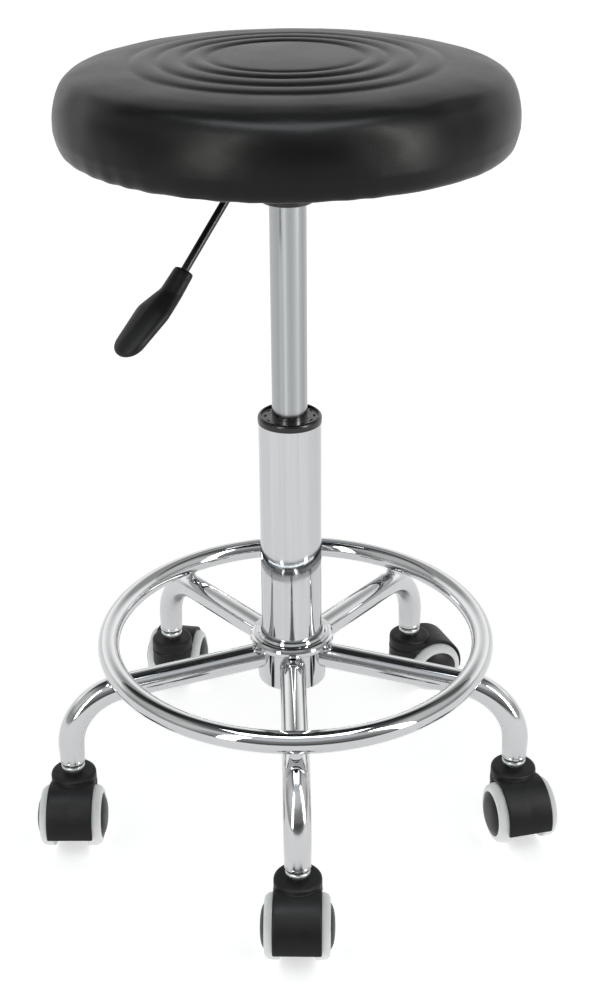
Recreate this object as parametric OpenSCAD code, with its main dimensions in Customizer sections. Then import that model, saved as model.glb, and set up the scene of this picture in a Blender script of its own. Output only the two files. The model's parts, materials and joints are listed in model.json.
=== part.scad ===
// Rolling stool: a padded round seat on a gas-lift column, a five-leg
// tubular base with a foot ring, and five hooded twin-wheel casters.
// Frame: +Z up, origin on the floor under the column axis, front leg at -Y.

/* [Seat] */
// Radius of the cushion at its widest
seat_r = 167; // [164:0.5:172]
// Height of the flat middle of the cushion above the floor
seat_top_z = 628.8; // [627:0.2:632]
// Fall of the cushion top from the middle to the shoulder
seat_dome = 5.6; // [3:0.2:8]
// Height of the underside of the cushion
seat_bottom_z = 567.6; // [567.2:0.1:568]
// Radius of the plywood board inside the cushion
board_r = 150; // [146:0.5:152]
// Thickness of the plywood board
board_t = 12; // [9:0.5:14]
// Number of staples under the rim
staple_count = 30; // [18:1:36]

/* [Column] */
// Outer radius of the standing tube
column_r = 25; // [24.8:0.05:25.05]
// Top of the standing tube
column_top_z = 347.5; // [340:0.5:352]
// Radius of the gas cylinder
gas_r = 14; // [13.5:0.1:14.5]
// Travel of the height adjustment
stroke = 140; // [100:5:140]
// Lower end of the taper socket under the seat
socket_bottom_z = 524; // [518:0.5:530]

/* [Base] */
// Number of legs, evenly spaced, the first one pointing to the front
leg_count = 5; // [5:1:5]
// Turn of the whole leg star about the column, in degrees
star_turn = 0.3; // [-5:0.1:5]
// Small turn of each welded leg from its even place, in degrees
leg_turn = [0.4, 0.6, 0, 0, -1.1]; // each [-1.2:0.1:1.2]
// Small difference in each leg's length
leg_extra = [2.5, 0, 0, 0, -0.6]; // each [-1:0.1:2.5]
// Outer radius of a leg tube
leg_r = 10.7; // [10.6:0.05:10.8]
// Height of the centre of the leg bends
bend_z = 82.1; // [81.6:0.1:82.4]
// Rise of the straight part of a leg towards the column, in degrees
leg_slope = 3.4; // [3:0.1:3.6]
// Distance of a caster stem from the column axis, before the small differences
leg_reach = 192.3; // [188:0.1:200]
// Radius of the leg bend, at the tube's axis
leg_bend = 48; // [46:0.5:48]
// Radius of the foot ring, at the tube's axis
ring_r = 156.2; // [155:0.2:158]
// Outer radius of the foot ring tube
ring_tube_r = 8.9; // [8.5:0.1:9]
// Offset of the foot ring from the column axis, to the right
ring_shift = 3; // [0:0.5:3]

/* [Casters] */
// Wheel radius over the tread
wheel_r = 25; // [24.8:0.1:25.2]
// Distance from the stem axis to the wheel axis
trail = 19; // [18.5:0.1:19.5]
// Resting direction of each caster's trail, in degrees from the front leg's
// direction, anticlockwise seen from above
caster_turn = [-1.8, 13.4, 111, 170.5, -0.8]; // each [-180:0.1:180]

/* [Lever] */
// Direction of the height lever, in degrees about the column
lever_dir = 225; // [222:0.5:228]
// Drop angle of the lever below the horizontal
lever_drop = 45.3; // [42:0.1:47]
// Length of the lever's straight sloping arm
rod_len = 108; // [90:1:115]
// Height of the lever's pivot pin
lever_z = 559.3; // [559.2:0.05:559.4]
// Distance of the pivot pin from the column axis
pivot_r = 30; // [29:0.5:31]

/* [Hidden] */
$fn = 64;

board_z = 569;                 // underside of the board
plate_z = 566;                 // underside of the seat plate
cyl_bottom_z = 275;            // lower end of the gas cylinder
cone_top_z = 551;              // upper end of the gas cylinder's taper
bore_r = column_r - 1.6;       // inside of the standing tube
foot_z = 64.5;                 // lower end of the leg sockets
rod_r = 3.1;                   // radius of the lever's rod
neck_z = 56.8;                 // top of a caster hood
sleeve_r = 28.4;               // outside of the hub's sleeve
ring_z = bend_z + leg_bend + leg_r + ring_tube_r + 2.3;

// ---------------------------------------------------------------- helpers
function leg_angle(i) = -90 + star_turn + leg_turn[i - 1] + 360 / leg_count * (i - 1);
function reach(i) = leg_reach + leg_extra[i - 1];

module at_leg(i) { rotate([0, 0, leg_angle(i)]) translate([reach(i), 0, 0]) children(); }

// Caster frame: origin on the floor under the stem, +X along the trail,
// +Y along the axle.
module at_caster(i) {
  rotate([0, 0, leg_angle(i)]) translate([reach(i), 0, 0])
    rotate([0, 0, caster_turn[i - 1] - leg_angle(i) - 90]) children();
}

module ring(r1, r2, z1, z2) {
  rotate_extrude() translate([r1, z1]) square([r2 - r1, z2 - z1]);
}

// Cushion outline, in the radius-height plane, set in from the skin by t.
function corner_top(t) = [for (k = [0 : 12]) let (a = 90 - k * 7.5)
  [seat_r - 26 + (26 - t) * pow(max(cos(a), 0), 2 / 2.4),
   seat_top_z - seat_dome - 40.6 + (40.6 - t) * pow(max(sin(a), 0), 2 / 2.4)]];
function corner_bottom(t) = [for (k = [3 : 10]) let (a = k * 9)
  [seat_r - 8.4 + (8.4 - t) * pow(max(cos(a), 0), 2 / 2.4),
   seat_bottom_z + 22.2 - (22.2 - t) * pow(max(sin(a), 0), 2 / 2.4)]];
function crown(t) = concat([[0, seat_top_z - t], [45, seat_top_z - t]],
  [for (k = [1 : 6]) let (r = 45 + (seat_r - 26 - 45) * k / 7)
    [r, seat_top_z - t - seat_dome * pow(k / 7, 2)]]);

// ---------------------------------------------------------------- column
module column_tube() color("gainsboro") rotate_extrude() union() {
  translate([bore_r, 112]) square([column_r - bore_r, column_top_z - 112]);
  translate([4.06, 116]) square([bore_r - 4.06 + 0.2, 3]);
}

module column_bush() color([0.07, 0.07, 0.07]) difference() {
  rotate_extrude() {
    translate([gas_r + 0.06, 280]) square([bore_r - 0.1 - gas_r - 0.06, column_top_z - 280 + 1]);
    translate([gas_r + 0.06, column_top_z]) square([2.6, 4.2]);
    translate([gas_r + 2, column_top_z]) square([column_r - gas_r - 2, 4.4]);
    translate([column_r - 2.1, column_top_z]) square([0.7, 6]);
    translate([column_r - 2.2, column_top_z]) square([2.55, 3.45]);
    translate([column_r - 2.2 + 0.001, column_top_z + 3.45]) intersection() {
      circle(2.549);
      square([3, 3]);
    }
  }
  for (k = [0 : 11]) rotate([0, 0, k * 30])
    translate([18.4, -2.2, column_top_z + 3.2]) cube([1.5, 4.4, 3]);
}

module bearing_lower_race() color("silver") ring(4.4, 13, 119, 120.9);

// Lift rod: turns with the seat on the thrust bearing, stays at its height.
module piston_rod() color("silver") rotate_extrude() union() {
  translate([0, 112.6]) square([4, 1.6]);
  translate([0, 114]) square([3.4, 1.6]);
  translate([0, 115.5]) square([4, 11.6]);
  translate([0, 127]) square([5, 173]);
  translate([0, 299.9]) square([3.5, 12.4]);
  translate([0, 312.2]) square([5, 1.8]);
}
module piston() color("dimgray") ring(3.55, 11.94, 300.1, 312);
module thrust_bearing() color("silver") {
  ring(4.05, 13, 125, 126.9);
  difference() {
    ring(5, 12.8, 122.4, 123.6);
    for (k = [0 : 9]) rotate([0, 0, k * 36]) translate([9, 0, 121]) cylinder(r = 2.15, h = 4);
  }
  for (k = [0 : 9]) rotate([0, 0, k * 36]) translate([9, 0, 122.95]) sphere(r = 1.95);
}
module rod_clip() color("gray") difference() {
  ring(3.45, 7.5, 114.35, 115.35);
  translate([0, -2.6, 113]) cube([10, 5.2, 4]);
}
module rod_bumper() color([0.12, 0.12, 0.12]) ring(5.1, 11.5, 127.1, 134);

// ---------------------------------------------------------------- gas cylinder
module gas_cylinder() color("darkgray") difference() {
  rotate_extrude() polygon([
    [10.8, cyl_bottom_z], [gas_r - 0.8, cyl_bottom_z], [gas_r, cyl_bottom_z + 1.2],
    [gas_r, socket_bottom_z], [gas_r - 0.7, cone_top_z], [0, cone_top_z],
    [0, 505], [12, 505], [12, cyl_bottom_z + 2], [10.8, cyl_bottom_z + 2]]);
  translate([0, 0, 535]) cylinder(r = 3.05, h = 20);
}
module rod_guide() color([0.15, 0.15, 0.16]) ring(5.05, 11.96, cyl_bottom_z + 2.1, 291);
module release_button() color("silver") intersection() {
  translate([0, 0, 540.5]) cylinder(r = 3, h = 20);
  translate([0, 0, 556 - 15.5 - 8.2]) union() {
    cylinder(r = 4, h = 19);
    translate([0, 0, 15.5]) sphere(r = 8.2);
  }
}

// ---------------------------------------------------------------- base
module hub() color("gainsboro") rotate_extrude() polygon([
  [column_r + 0.1, 114], [28, 114], [sleeve_r, 114.5], [sleeve_r, 148.4], [29.4, 148.1],
  [31.4, 148], [33.2, 148.5], [34.5, 149.8], [35, 151.5], [34.9, 153.2], [34.1, 154.8],
  [32.8, 155.9], [31.2, 156.5], [29.6, 156.5], [28.6, 156.9], [28, 157.7], [27.4, 158.5],
  [26.6, 158.9], [25.9, 158.8], [25.4, 158.3], [column_r + 0.1, 157.6]]);

// The straight stretches of a leg are a hair thinner than its bend and run
// a little way into it.
module annulus(r, t) difference() {
  circle(r);
  circle(r - t);
}
module leg(i) color("gainsboro") rotate([0, 0, leg_angle(i)]) {
  difference() {
    translate([reach(i) - leg_bend, 0, bend_z]) rotate([90, 0, 0]) rotate([0, 0, 90 - leg_slope])
      translate([leg_bend, -0.8, 0]) rotate([-90, 0, 0])
      linear_extrude(reach(i) - leg_bend - 12) annulus(leg_r - 0.06, 1.38);
    translate([0, 0, 100]) cylinder(r = sleeve_r, h = 80);
  }
  translate([reach(i) - leg_bend, 0, bend_z]) rotate([90, 0, 0])
    rotate_extrude(angle = 90 - leg_slope) translate([leg_bend, 0]) annulus(leg_r, 1.5);
  translate([reach(i), 0, 0]) rotate_extrude() polygon([
    [leg_r - 1.55, 69.6], [leg_r - 0.4, 69.6], [leg_r - 0.06, bend_z],
    [leg_r - 0.06, bend_z + 0.8], [leg_r - 1.44, bend_z + 0.8], [leg_r - 1.44, bend_z]]);
}
module leg_1() leg(1);
module leg_2() leg(2);
module leg_3() leg(3);
module leg_4() leg(4);
module leg_5() leg(5);

module leg_sockets() color("gainsboro") for (i = [1 : leg_count]) at_leg(i) rotate_extrude()
  polygon([[5.55, foot_z], [7.4, foot_z], [9, foot_z + 0.5], [10, foot_z + 1.6],
    [leg_r - 0.35, foot_z + 3], [leg_r - 0.35, foot_z + 4.4], [10, foot_z + 4.9],
    [leg_r - 1.6, foot_z + 5], [leg_r - 1.6, 81], [leg_r - 2.2, 82], [5.55, 82]]);

module caster_stems() color("silver") for (i = [1 : leg_count]) at_leg(i) rotate_extrude() union() {
  translate([0, 38]) square([5.5, 43]);
  polygon([[5, neck_z + 0.4], [5.8, neck_z + 0.4], [7.4, foot_z - 2], [7.4, foot_z], [5, foot_z]]);
}

// The ring stands on a weld pad on each leg.
function ring_at(i) = ring_r + ring_shift * cos(leg_angle(i));
module foot_ring() color("gainsboro") {
  translate([ring_shift, 0, ring_z]) rotate_extrude() translate([ring_r, 0]) difference() {
    circle(ring_tube_r);
    circle(ring_tube_r - 1.4);
  }
  for (i = [1 : leg_count]) rotate([0, 0, leg_angle(i)]) translate([ring_at(i), 0, ring_z - ring_tube_r - 3.4])
    cylinder(r1 = 5.2, r2 = 4, h = 4.5);
}

// ---------------------------------------------------------------- casters
module wheel_core(s) color([0.09, 0.09, 0.1]) mirror([0, s < 0 ? 1 : 0, 0])
  translate([trail, 0, wheel_r]) rotate([-90, 0, 0]) rotate_extrude() polygon([
    [3.06, 4.9], [7, 4.9], [7, 14], [18.6, 14], [18.6, 24.2], [18.2, 24.5], [17.6, 24.9],
    [16.2, 26], [14, 27.1], [11, 27.9], [6, 28.4], [0, 28.6], [0, 24.6], [3.06, 24.6]]);

module wheel_tread(s) color([0.78, 0.8, 0.79]) mirror([0, s < 0 ? 1 : 0, 0])
  translate([trail, 0, wheel_r]) rotate([-90, 0, 0]) rotate_extrude() polygon([
    [18.65, 13.9], [19.2, 13.6], [wheel_r - 1.4, 13.6], [wheel_r - 0.4, 14], [wheel_r, 15],
    [wheel_r, 19.2], [wheel_r - 0.15, 20.4], [wheel_r - 0.6, 21.7], [wheel_r - 1.4, 23],
    [wheel_r - 2.5, 24.1], [wheel_r - 3.8, 24.8], [wheel_r - 4.8, 25.1], [18.65, 25.1]]);

module caster_axle_at() color("silver") translate([trail, 0, wheel_r]) rotate([90, 0, 0])
  cylinder(r = 3, h = 48, center = true);

module caster_hood_shape() difference() {
  union() {
    // neck
    rotate_extrude() polygon([[0, 28.5], [16.6, 28.5], [18.2, 29.2], [18.7, 30.8],
      [18.7, neck_z - 2.6], [18.4, neck_z - 1.4], [17.5, neck_z - 0.5], [16.1, neck_z], [0, neck_z]]);
    // fender over the wheels
    translate([trail, 0, wheel_r]) rotate([90, 0, 0]) rotate([0, 0, -11.5])
      rotate_extrude(angle = 151.5) polygon([[24.4, -18.7], [27.2, -18.7], [28, -18.3], [28.3, -17.4],
        [28.3, 17.4], [28, 18.3], [27.2, 18.7], [24.4, 18.7]]);
    // web between the wheels, with a boss round the axle
    intersection() {
      translate([trail, 0, wheel_r]) rotate([90, 0, 0]) cylinder(r = 27, h = 9, center = true);
      translate([-15, -10, 20.1]) cube([80, 20, 60]);
    }
    translate([trail, 0, wheel_r]) rotate([90, 0, 0]) cylinder(r = 6.5, h = 8.98, center = true);
  }
  // room for the wheels
  for (s = [-1, 1]) translate([trail, s * (12.9 + 15), wheel_r]) rotate([90, 0, 0])
    cylinder(r = 26, h = 30, center = true);
  for (s = [-1, 1]) translate([trail, s * (4.5 + 5), wheel_r]) rotate([90, 0, 0])
    cylinder(r = 25.4, h = 10, center = true);
  // stem bore and axle bore
  translate([0, 0, 37.5]) cylinder(r = 5.56, h = 30);
  translate([trail, 0, wheel_r]) rotate([90, 0, 0]) cylinder(r = 3.02, h = 12, center = true);
}

module hood(i) color([0.1, 0.1, 0.1]) at_caster(i) caster_hood_shape();
module axle(i) at_caster(i) caster_axle_at();
module core(i, s) at_caster(i) wheel_core(s);
module tread(i, s) at_caster(i) wheel_tread(s);

module caster_1_hood() hood(1);
module caster_1_axle() axle(1);
module caster_1_core_l() core(1, 1);
module caster_1_core_r() core(1, -1);
module caster_1_tread_l() tread(1, 1);
module caster_1_tread_r() tread(1, -1);
module caster_2_hood() hood(2);
module caster_2_axle() axle(2);
module caster_2_core_l() core(2, 1);
module caster_2_core_r() core(2, -1);
module caster_2_tread_l() tread(2, 1);
module caster_2_tread_r() tread(2, -1);
module caster_3_hood() hood(3);
module caster_3_axle() axle(3);
module caster_3_core_l() core(3, 1);
module caster_3_core_r() core(3, -1);
module caster_3_tread_l() tread(3, 1);
module caster_3_tread_r() tread(3, -1);
module caster_4_hood() hood(4);
module caster_4_axle() axle(4);
module caster_4_core_l() core(4, 1);
module caster_4_core_r() core(4, -1);
module caster_4_tread_l() tread(4, 1);
module caster_4_tread_r() tread(4, -1);
module caster_5_hood() hood(5);
module caster_5_axle() axle(5);
module caster_5_core_l() core(5, 1);
module caster_5_core_r() core(5, -1);
module caster_5_tread_l() tread(5, 1);
module caster_5_tread_r() tread(5, -1);

// ---------------------------------------------------------------- seat
module seat_cover() color([0.1, 0.1, 0.1]) rotate_extrude() polygon(concat(
  crown(0), corner_top(0), corner_bottom(0), [[126, seat_bottom_z], [126, seat_bottom_z + 1.2]],
  [for (k = [7 : -1 : 0]) corner_bottom(1.2)[k]],
  [for (k = [12 : -1 : 0]) corner_top(1.2)[k]],
  [for (k = [7 : -1 : 0]) crown(1.2)[k]]));

module seat_foam() color("wheat") rotate_extrude() polygon(concat(
  crown(1.35), corner_top(1.35), corner_bottom(1.35),
  [[board_r + 0.2, seat_bottom_z + 1.35], [board_r + 0.2, board_z + board_t + 0.15],
   [0, board_z + board_t + 0.15]]));

module fastener_spots() for (k = [0 : 3]) rotate([0, 0, k * 90]) translate([82, 0, 0]) children();

module seat_board() color("burlywood") difference() {
  translate([0, 0, board_z]) cylinder(r = board_r, h = board_t, $fn = 96);
  fastener_spots() translate([0, 0, board_z - 1]) cylinder(r = 5.6, h = board_t + 2);
  fastener_spots() translate([0, 0, board_z + board_t - 1.5]) cylinder(r = 10, h = 3);
}

module cover_staples() color("silver") for (k = [0 : staple_count - 1])
  rotate([0, 0, (k + 0.5) * 360 / staple_count]) translate([134, 0, 0]) {
    translate([-0.35, -5, seat_bottom_z - 0.6]) cube([0.7, 10, 0.6]);
    for (s = [-1, 1]) translate([-0.35, s * 4.7 - 0.3, seat_bottom_z - 0.3]) cube([0.7, 0.6, 7]);
  }

module seat_fasteners() color("silver") fastener_spots() {
  // bolt with a hexagon head and a washer face
  translate([0, 0, plate_z - 5.5]) cylinder(r = 7, h = 5.5, $fn = 6);
  translate([0, 0, plate_z - 1]) cylinder(r = 3.9, h = 15.5);
  // tee nut
  translate([0, 0, board_z + board_t - 10]) ring(4.0, 5.5, 0, 9);
  translate([0, 0, board_z + board_t - 1.4]) ring(4.0, 9.6, 0, 1.3);
}

module seat_plate() color([0.12, 0.12, 0.12]) difference() {
  union() {
    intersection() {
      rotate([0, 0, 45]) translate([-75, -75, plate_z]) cube([150, 150, 3]);
      translate([0, 0, plate_z]) cylinder(r = 97, h = 3);
    }
    // turned-down edges
    for (k = [0 : 3]) rotate([0, 0, 45 + 90 * k]) translate([73, -50, plate_z - 8]) cube([2, 100, 8.5]);
    // ears that carry the lever's pin
    rotate([0, 0, lever_dir]) for (s = [-1, 1]) translate([pivot_r, s * 6.1, 0]) {
      translate([-6, -1.25, lever_z]) cube([12, 2.5, plate_z - lever_z + 0.5]);
      translate([0, 0, lever_z]) rotate([90, 0, 0]) cylinder(r = 6, h = 2.5, center = true);
    }
  }
  fastener_spots() translate([0, 0, plate_z - 1]) cylinder(r = 4.3, h = 6);
  rotate([0, 0, lever_dir]) translate([pivot_r, 0, lever_z]) rotate([90, 0, 0])
    cylinder(r = 1.52, h = 30, center = true);
}

module taper_socket() color([0.1, 0.1, 0.1]) difference() {
  rotate_extrude() polygon([
    [gas_r + 0.08, socket_bottom_z], [19.2, socket_bottom_z], [20, socket_bottom_z + 0.8],
    [20, plate_z - 4], [23.5, plate_z - 0.05], [15.5, plate_z - 0.05], [15.5, cone_top_z],
    [gas_r - 0.62, cone_top_z]]);
  rotate([0, 0, lever_dir]) translate([6, -5, cone_top_z + 1]) cube([19, 10, plate_z - cone_top_z]);
}

module lever_pivot_pin() color("silver") rotate([0, 0, lever_dir]) translate([pivot_r, 0, lever_z])
  rotate([90, 0, 0]) cylinder(r = 1.5, h = 17, center = true);

// Lever frame: origin at the pivot, +X outwards, +Z up.
module at_lever() rotate([0, 0, lever_dir]) translate([pivot_r, 0, lever_z]) children();
// Frame of the rod's bend, turned by a degrees about its centre.
module at_bend(a) translate([5, 0, -12]) rotate([90, 0, 0]) rotate([0, 0, a]) children();
module lever_rod() color([0.08, 0.08, 0.08]) at_lever() difference() {
  union() {
    // inner arm over the valve button; both arms run a little way into the bend
    at_bend(90) translate([12, -0.7, 0]) rotate([-90, 0, 0]) linear_extrude(40.7) circle(rod_r - 0.05);
    at_bend(90 - lever_drop) rotate_extrude(angle = lever_drop) translate([12, 0]) circle(rod_r);
    at_bend(90 - lever_drop) translate([12, 0.7, 0]) rotate([90, 0, 0])
      linear_extrude(rod_len + 0.7) circle(rod_r - 0.05);
  }
  // hole for the pin
  rotate([90, 0, 0]) cylinder(r = 1.56, h = 12, center = true);
}
// Outer arm frame: origin at the end of the bend, +X along the sloping arm.
module at_outer_arm() translate([5, 0, -12]) rotate([0, lever_drop, 0]) translate([0, 0, 12]) children();

// Flattened ball, a stop of the handle's outline.
module pad(x, y, z, half_w, half_t) translate([x, y, z]) rotate([0, -14, 0])
  scale([1, 1, half_t / half_w]) sphere(r = half_w, $fn = 32);
module lever_handle() color([0.06, 0.06, 0.06]) at_lever() at_outer_arm() translate([rod_len, 0, 0]) {
  hull() {
    translate([-22.6, 0, 0]) rotate([0, 90, 0]) scale([0.72, 1, 1]) cylinder(r = 7.8, h = 1, $fn = 32);
    translate([-21, 0, 0]) rotate([0, 90, 0]) scale([0.72, 1, 1]) cylinder(r = 8.5, h = 1, $fn = 32);
    pad(-3, 0, 0.2, 9.4, 6.4);
  }
  hull() {
    pad(-3, 0, 0.2, 9.4, 6.4);
    pad(16, -1, 4.6, 15, 6.6);
  }
  hull() {
    pad(16, -1, 4.6, 15, 6.6);
    pad(42, 1.6, 10.6, 12.8, 5.8);
  }
}

column_tube();
column_bush();
bearing_lower_race();
hub();
leg_1();
leg_2();
leg_3();
leg_4();
leg_5();
leg_sockets();
foot_ring();
caster_stems();
piston_rod();
piston();
thrust_bearing();
rod_clip();
rod_bumper();
seat_cover();
seat_foam();
seat_board();
cover_staples();
seat_fasteners();
seat_plate();
taper_socket();
lever_pivot_pin();
gas_cylinder();
rod_guide();
release_button();
lever_rod();
lever_handle();
caster_1_hood();
caster_1_axle();
caster_1_core_l();
caster_1_core_r();
caster_1_tread_l();
caster_1_tread_r();
caster_2_hood();
caster_2_axle();
caster_2_core_l();
caster_2_core_r();
caster_2_tread_l();
caster_2_tread_r();
caster_3_hood();
caster_3_axle();
caster_3_core_l();
caster_3_core_r();
caster_3_tread_l();
caster_3_tread_r();
caster_4_hood();
caster_4_axle();
caster_4_core_l();
caster_4_core_r();
caster_4_tread_l();
caster_4_tread_r();
caster_5_hood();
caster_5_axle();
caster_5_core_l();
caster_5_core_r();
caster_5_tread_l();
caster_5_tread_r();
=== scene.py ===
import json
import math

import bmesh
import bpy
import numpy as np
from mathutils import Matrix, Vector, noise

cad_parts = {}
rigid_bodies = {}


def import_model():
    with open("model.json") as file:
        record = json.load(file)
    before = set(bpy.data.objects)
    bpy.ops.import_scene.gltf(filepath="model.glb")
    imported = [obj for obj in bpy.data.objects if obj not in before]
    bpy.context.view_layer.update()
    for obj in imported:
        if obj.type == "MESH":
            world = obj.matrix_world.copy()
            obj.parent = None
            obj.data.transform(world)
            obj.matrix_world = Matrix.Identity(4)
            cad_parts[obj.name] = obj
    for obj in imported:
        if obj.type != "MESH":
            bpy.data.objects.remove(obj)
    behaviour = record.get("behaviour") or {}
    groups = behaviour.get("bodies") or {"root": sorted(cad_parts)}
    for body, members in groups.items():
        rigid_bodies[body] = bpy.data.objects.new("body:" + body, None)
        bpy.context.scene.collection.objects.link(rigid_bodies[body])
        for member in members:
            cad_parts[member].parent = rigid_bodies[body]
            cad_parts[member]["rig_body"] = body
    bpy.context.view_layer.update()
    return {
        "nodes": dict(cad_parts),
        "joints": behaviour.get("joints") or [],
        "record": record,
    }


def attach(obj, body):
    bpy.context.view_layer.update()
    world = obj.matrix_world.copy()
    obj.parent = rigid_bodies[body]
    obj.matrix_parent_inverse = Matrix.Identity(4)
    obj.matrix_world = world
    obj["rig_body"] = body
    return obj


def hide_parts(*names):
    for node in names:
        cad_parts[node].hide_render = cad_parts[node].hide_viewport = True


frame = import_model()
MM = 0.001
scene = bpy.context.scene
scene.view_settings.view_transform = "Standard"
scene.view_settings.look = "None"

# ------------------------------------------------------------------ helpers


def joint(name):
    return next(j for j in frame["joints"] if j["name"] == name)


def link(obj):
    scene.collection.objects.link(obj)
    return obj


def smooth(mesh, on=True):
    mesh.polygons.foreach_set("use_smooth", [on] * len(mesh.polygons))
    mesh.update()


def new_object(name, verts, faces, material=None, shade=True):
    mesh = bpy.data.meshes.new(name)
    mesh.from_pydata([tuple(v) for v in verts], [], [tuple(f) for f in faces])
    bm = bmesh.new()
    bm.from_mesh(mesh)
    bmesh.ops.remove_doubles(bm, verts=bm.verts, dist=1e-7)
    bmesh.ops.recalc_face_normals(bm, faces=bm.faces)
    bm.to_mesh(mesh)
    bm.free()
    smooth(mesh, shade)
    obj = link(bpy.data.objects.new(name, mesh))
    if material:
        mesh.materials.append(material)
    return obj


def apply_modifiers(obj):
    """Replaces obj's mesh by its evaluated mesh."""
    dg = bpy.context.evaluated_depsgraph_get()
    made = bpy.data.meshes.new_from_object(obj.evaluated_get(dg), depsgraph=dg)
    old = obj.data
    obj.modifiers.clear()
    obj.data = made
    if old.users == 0:
        bpy.data.meshes.remove(old)
    return obj


def lathe(name, profile, material=None, steps=96, closed=True, axis="z", centre=(0, 0, 0)):
    """Turns a profile of (radius, height) points in mm into a solid about an axis."""
    verts, faces, rows = [], [], []
    for r, h in profile:
        if r < 1e-6:
            rows.append([len(verts)])
            verts.append((0, 0, h * MM))
        else:
            rows.append(list(range(len(verts), len(verts) + steps)))
            for k in range(steps):
                a = 2 * math.pi * k / steps
                verts.append((r * MM * math.cos(a), r * MM * math.sin(a), h * MM))
    count = len(rows) if closed else len(rows) - 1
    for i in range(count):
        a, b = rows[i], rows[(i + 1) % len(rows)]
        if len(a) == 1 and len(b) == 1:
            continue
        for k in range(steps):
            k2 = (k + 1) % steps
            if len(a) == 1:
                faces.append((a[0], b[k2], b[k]))
            elif len(b) == 1:
                faces.append((a[k], a[k2], b[0]))
            else:
                faces.append((a[k], a[k2], b[k2], b[k]))
    turn = {"z": Matrix.Identity(4), "y": Matrix.Rotation(-math.pi / 2, 4, "X")}[axis]
    move = Matrix.Translation(Vector(centre) * MM) @ turn
    return new_object(name, [move @ Vector(v) for v in verts], faces, material)


def arc(cx, cy, r, a0, a1, n):
    """Points of an arc, in the profile plane, from angle a0 to a1 in degrees."""
    return [
        (cx + r * math.cos(math.radians(a0 + (a1 - a0) * k / n)), cy + r * math.sin(math.radians(a0 + (a1 - a0) * k / n)))
        for k in range(n + 1)
    ]


def sweep(name, path, radii, material=None, sides=48, ends=True):
    """A round tube along a path of points in metres, with a radius at each."""
    path = [Vector(p) for p in path]
    verts, faces = [], []
    tangent = [(path[min(i + 1, len(path) - 1)] - path[max(i - 1, 0)]).normalized() for i in range(len(path))]
    up = Vector((0, 0, 1)) if abs(tangent[0].z) < 0.9 else Vector((1, 0, 0))
    side = tangent[0].cross(up).normalized()
    for i, p in enumerate(path):
        side = (side - tangent[i] * side.dot(tangent[i])).normalized()
        other = tangent[i].cross(side)
        for k in range(sides):
            a = 2 * math.pi * k / sides
            verts.append(p + radii[i] * (math.cos(a) * side + math.sin(a) * other))
    for i in range(len(path) - 1):
        for k in range(sides):
            k2 = (k + 1) % sides
            faces.append((i * sides + k, i * sides + k2, (i + 1) * sides + k2, (i + 1) * sides + k))
    if ends:
        faces.append(list(range(sides))[::-1])
        faces.append([(len(path) - 1) * sides + k for k in range(sides)])
    return new_object(name, verts, faces, material)


# ------------------------------------------------------------------ materials


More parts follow.
